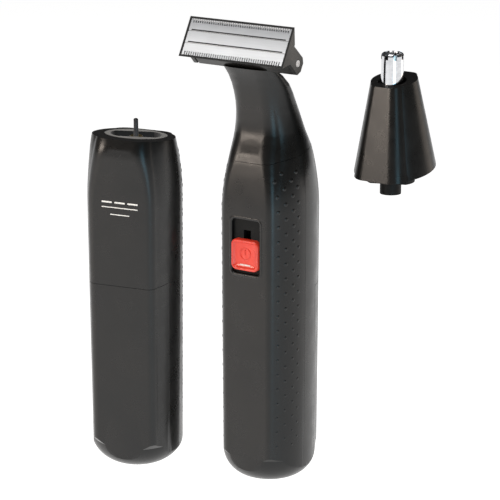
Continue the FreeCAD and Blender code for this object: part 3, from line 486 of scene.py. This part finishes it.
def switch_symbol(prefix):
    """Raised ring with a short upright bar, moulded on the thumb pad."""
    low, high = in_handle(prefix, prefix + "_switch_button")
    dish = low[1] + PAD_DISH
    centre = (low[2] + high[2]) / 2 + SYMBOL_ABOVE_MIDDLE
    ring = []
    for radius, rise in RING_STEPS:
        circle = []
        for i in range(RING_POINTS):
            turn = 2 * math.pi * i / RING_POINTS
            circle.append((radius * math.cos(turn), dish - rise, centre + radius * math.sin(turn)))
        ring.append(in_row(prefix, circle))
    bar = []
    for grow, rise in BAR_STEPS:
        outline = rounded_loop(BAR_HALF_WIDTH + grow, BAR_HALF_HEIGHT + grow, BAR_CORNER + grow,
                               centre + BAR_ABOVE_RING, dish - rise)
        bar.append(in_row(prefix, outline))
    made = (loops_mesh(f"switch_ring_{prefix}", [ring], close_ends=False),
            loops_mesh(f"switch_bar_{prefix}", [bar]))
    for piece in made:
        finish_detail(piece, prefix + "_switch", MATERIALS["button_plastic"], 60.0)


def flat_paint(name, code):
    """Flat pale paint, slightly uneven at its edges and a little rougher than the plastic: pad-printed ink,
    and a painted highlight.
    """
    made, tree, surface, place = material(name, IOR=1.48)
    cover = grain(tree, place, 0.0004, 3.0)
    tint(tree, surface, cover, code, "#f4efe9")
    uneven_gloss(tree, surface, cover, 0.4, 0.55)
    relief(tree, surface, cover, 0.000004, 0.5)
    return made


# Pale ink: reads as a crisp light line on the charcoal.
PALE_INK = flat_paint("pale_ink_pad_printed", "#e4ddd6")
# Warm white paint: a painted highlight, a soft line at the foot of the thumb pad.
WARM_HIGHLIGHT_PAINT = flat_paint("warm_white_painted_highlight", "#f0c9bd")


LINE_ABOVE_FOOT, LINE_DEPTH = 1.75, 0.64
LINE_HALF_WIDTH, LINE_HALF_HEIGHT, LINE_CORNER = 1.9, 0.24, 0.15
LINE_STEPS = ((0.0, -0.05), (0.0, 0.05), (-0.02, 0.06))


def pad_foot_highlight(prefix):
    """Painted highlight: a thin raised pale line at the foot of the thumb pad."""
    low = in_handle(prefix, prefix + "_switch_button")[0]
    bar = []
    for grow, rise in LINE_STEPS:
        outline = rounded_loop(LINE_HALF_WIDTH + grow, LINE_HALF_HEIGHT + grow, LINE_CORNER + grow,
                               low[2] + LINE_ABOVE_FOOT, low[1] + LINE_DEPTH - rise)
        bar.append(in_row(prefix, outline))
    return finish_detail(loops_mesh(f"switch_line_{prefix}", [bar]), prefix + "_switch", WARM_HIGHLIGHT_PAINT)


# How far a stroke's edge goes under the surface, in millimetres.
STROKE_SUNK = 0.05


def back_strokes(prefix, name, strokes, rise, finish):
    """Flat strokes laid on the back shell. A stroke is (x, z, half length, half height, slope), in mm."""
    frame_of = HANDLES[prefix]
    shell = surface_of(prefix + "_back_shell")
    inward = frame_of.to_3x3() @ Vector((0, -1, 0))
    groups = []
    for x, z, half_x, half_z, slope in strokes:
        sunk, raised = [], []
        for px, _, pz in rounded_loop(half_x, half_z, min(half_x, half_z) * 0.8, 0.0, 0.0, 3):
            across = px * math.cos(slope) - pz * math.sin(slope)
            along = px * math.sin(slope) + pz * math.cos(slope)
            start = frame_of @ Vector(((x + across) * MM, REACH, (z + along) * MM))
            hit, normal, _, _ = shell.ray_cast(start, inward, REACH)
            sunk.append(hit - normal * (STROKE_SUNK * MM))
            raised.append(hit + normal * (rise * MM))
        groups.append([sunk, raised])
    return finish_detail(loops_mesh(f"{name}_{prefix}", groups), prefix + "_handle", finish, 60.0)


ARROW_SLOPE = math.radians(52)
# Two rules under a pair of sloping strokes, which show which way round a head goes on.
ALIGNMENT_STROKES = ((0.5, 102.6, 1.3, 0.13, 0.0), (0.5, 101.5, 1.3, 0.13, 0.0),
                     (-0.15, 103.9, 0.85, 0.12, -ARROW_SLOPE), (1.15, 103.9, 0.85, 0.12, ARROW_SLOPE))
# Three dashes over two rules: a plain ornament.
EMBLEM_STROKES = ((4.0, 89.2, 1.6, 0.24, 0.0), (0.0, 89.2, 1.6, 0.24, 0.0), (-4.0, 89.2, 1.6, 0.24, 0.0),
                  (0.0, 87.6, 5.6, 0.14, 0.0), (0.0, 85.4, 3.0, 0.14, 0.0))


def back_marks(prefix):
    """The marks on a handle's back: moulded ones near the top and the printed ornament below."""
    back_strokes(prefix, "alignment_mark", ALIGNMENT_STROKES, 0.05, MATERIALS["case_plastic"])
    back_strokes(prefix, "back_emblem", EMBLEM_STROKES, 0.02, PALE_INK)


for handle in HANDLES:
    grip_dots(handle)
    window_lip(handle)
    thumb_cap(handle)
    switch_symbol(handle)
    pad_foot_highlight(handle)
    back_marks(handle)

# The blade's face leans back by this much, and its etched lines lie on it at these levels from its middle.
BLADE_SLOPE = math.radians(30.0)
BLADE_LINE_LIFT = 0.00027
BLADE_LINE_LEVELS = (-0.00155, 0.0023)
BLADE_LINE_HALF_LENGTH, BLADE_LINE_HALF_HEIGHT = 0.0168, 0.00018


def blade_lines():
    """Two dark etched lines along the face of the flat blade."""
    low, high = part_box("fixed_blade")
    normal = Vector((0.0, -math.cos(BLADE_SLOPE), math.sin(BLADE_SLOPE)))
    upward = Vector((0.0, normal.z, -normal.y))
    middle = (low + high) / 2 + normal * BLADE_LINE_LIFT
    points, faces = [], []
    for level in BLADE_LINE_LEVELS:
        first = len(points)
        for side, edge in ((-1, -1), (1, -1), (1, 1), (-1, 1)):
            along = Vector((side * BLADE_LINE_HALF_LENGTH, 0.0, 0.0))
            points.append(middle + upward * (level + edge * BLADE_LINE_HALF_HEIGHT) + along)
        faces.append((first, first + 1, first + 2, first + 3))
    made = sheet_mesh("blade_lines", points, faces)
    made.data.materials.append(DARK_STEEL_AND_SHADE)
    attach(made, "blade_tray")


blade_lines()

# ---------------------------------------------------------------- floor, light and camera

FLOOR_DROP, FLOOR_HALF = 0.10, 4.0


def floor_sheet():
    """A wide, level light table of opal sheet well below the set."""
    level = cad_low.z - FLOOR_DROP
    corners = [(x * FLOOR_HALF, y * FLOOR_HALF, level) for x, y in ((-1, -1), (1, -1), (1, 1), (-1, 1))]
    made = sheet_mesh("light_table", corners, [(0, 1, 2, 3)])
    # Cast opal sheet lit from below: an even pale floor that fills the undersides of the set.
    opal, tree, surface, place = material("opal_sheet_cast", Roughness=0.85, Emission_Strength=0.9,
                                          Emission_Color=linear("#ffffff"))
    cloud = grain(tree, place, 0.004, 4.0)
    tint(tree, surface, cloud, "#f7f7f7", "#fbfbfb")
    relief(tree, surface, cloud, 0.00005, 0.2)
    made.data.materials.append(opal)


# The view's direction, in degrees to the right of the front and above level.
AZIMUTH, ELEVATION = math.radians(33.0), math.radians(16.5)
RIGHT = Vector((math.cos(AZIMUTH), math.sin(AZIMUTH), 0.0))
BACK = Vector((math.sin(AZIMUTH) * math.cos(ELEVATION), -math.cos(AZIMUTH) * math.cos(ELEVATION),
               math.sin(ELEVATION)))
UP = BACK.cross(RIGHT)
TARGET = Vector((0.0, 0.0, 0.0012))
CAMERA_DISTANCE, CAMERA_LENS = 0.730, 168.2
# The view's middle lies a little above the target and to its left.
AIM = TARGET + UP * 0.0167 - RIGHT * 0.0062
# Where the lamps point.
SET_MIDDLE = Vector((0.0, 0.0, 0.02))


def soft_light(name, azimuth, distance, height, size_x, size_z, power, colour):
    """A soft rectangular lamp round the set. Azimuth 0 is on the front's side and 90 on the right."""
    data = bpy.data.lights.new(name, "AREA")
    data.shape = "RECTANGLE"
    data.size, data.size_y = size_x, size_z
    data.energy = power
    data.color = linear(colour)[:3]
    lamp = bpy.data.objects.new(name, data)
    turn = math.radians(azimuth)
    lamp.location = Vector((math.sin(turn) * distance, -math.cos(turn) * distance, height))
    aim = SET_MIDDLE - lamp.location
    lamp.rotation_mode = "QUATERNION"
    lamp.rotation_quaternion = aim.to_track_quat("-Z", "Y")
    lamp.visible_camera = False
    bpy.context.scene.collection.objects.link(lamp)


def studio():
    """The glowing floor, the lamps that draw highlights and fill shadows, and a nearly dark room."""
    floor_sheet()
    soft_light("front_box", -33.0, 0.85, 0.180, 0.40, 0.16, 2.8, "#fff0e2")
    soft_light("blade_box", -38.0, 0.85, 0.66, 0.45, 0.26, 0.62, "#ffffff")
    soft_light("cool_strip", 54.0, 0.55, 0.01, 0.20, 0.26, 0.60, "#90cce4")
    soft_light("warm_rim", 142.0, 0.60, 0.09, 0.28, 0.30, 0.30, "#ffeedd")
    soft_light("key_high", 0.0, 0.50, 0.90, 0.50, 0.50, 3.5, "#ffffff")
    soft_light("top_wash", 180.0, 0.15, 1.10, 1.1, 1.1, 1.5, "#ffffff")
    world = bpy.data.worlds.new("studio_air")
    world.use_nodes = True
    room = world.node_tree.nodes["Background"]
    room.inputs["Color"].default_value = linear("#fbfbfb")
    room.inputs["Strength"].default_value = 0.05
    bpy.context.scene.world = world


def camera():
    """A long lens from the right of the front and a little above."""
    data = bpy.data.cameras.new("camera")
    data.sensor_width = 36.0
    data.lens = CAMERA_LENS
    data.clip_start, data.clip_end = 0.05, 10.0
    made = bpy.data.objects.new("camera", data)
    made.location = TARGET + BACK * CAMERA_DISTANCE
    away = (AIM - made.location).normalized()
    made.rotation_mode = "QUATERNION"
    made.rotation_quaternion = away.to_track_quat("-Z", "Y")
    bpy.context.scene.collection.objects.link(made)
    bpy.context.scene.camera = made


def lit_apart(prefix):
    """Keeps a handle out of all reflections and shadows, as if its neighbours had been lit without it."""
    for piece in bpy.data.objects:
        of_handle = piece.name.startswith(prefix + "_") or piece.name.endswith("_" + prefix)
        if piece.type == "MESH" and of_handle:
            piece.visible_glossy = False
            piece.visible_shadow = False


studio()
camera()
lit_apart("spare")
# Without this the red pad lays a red smear on the spare handle's side.
bpy.data.objects["thumb_cap_main"].visible_glossy = False
bpy.context.scene.view_settings.view_transform = "Standard"
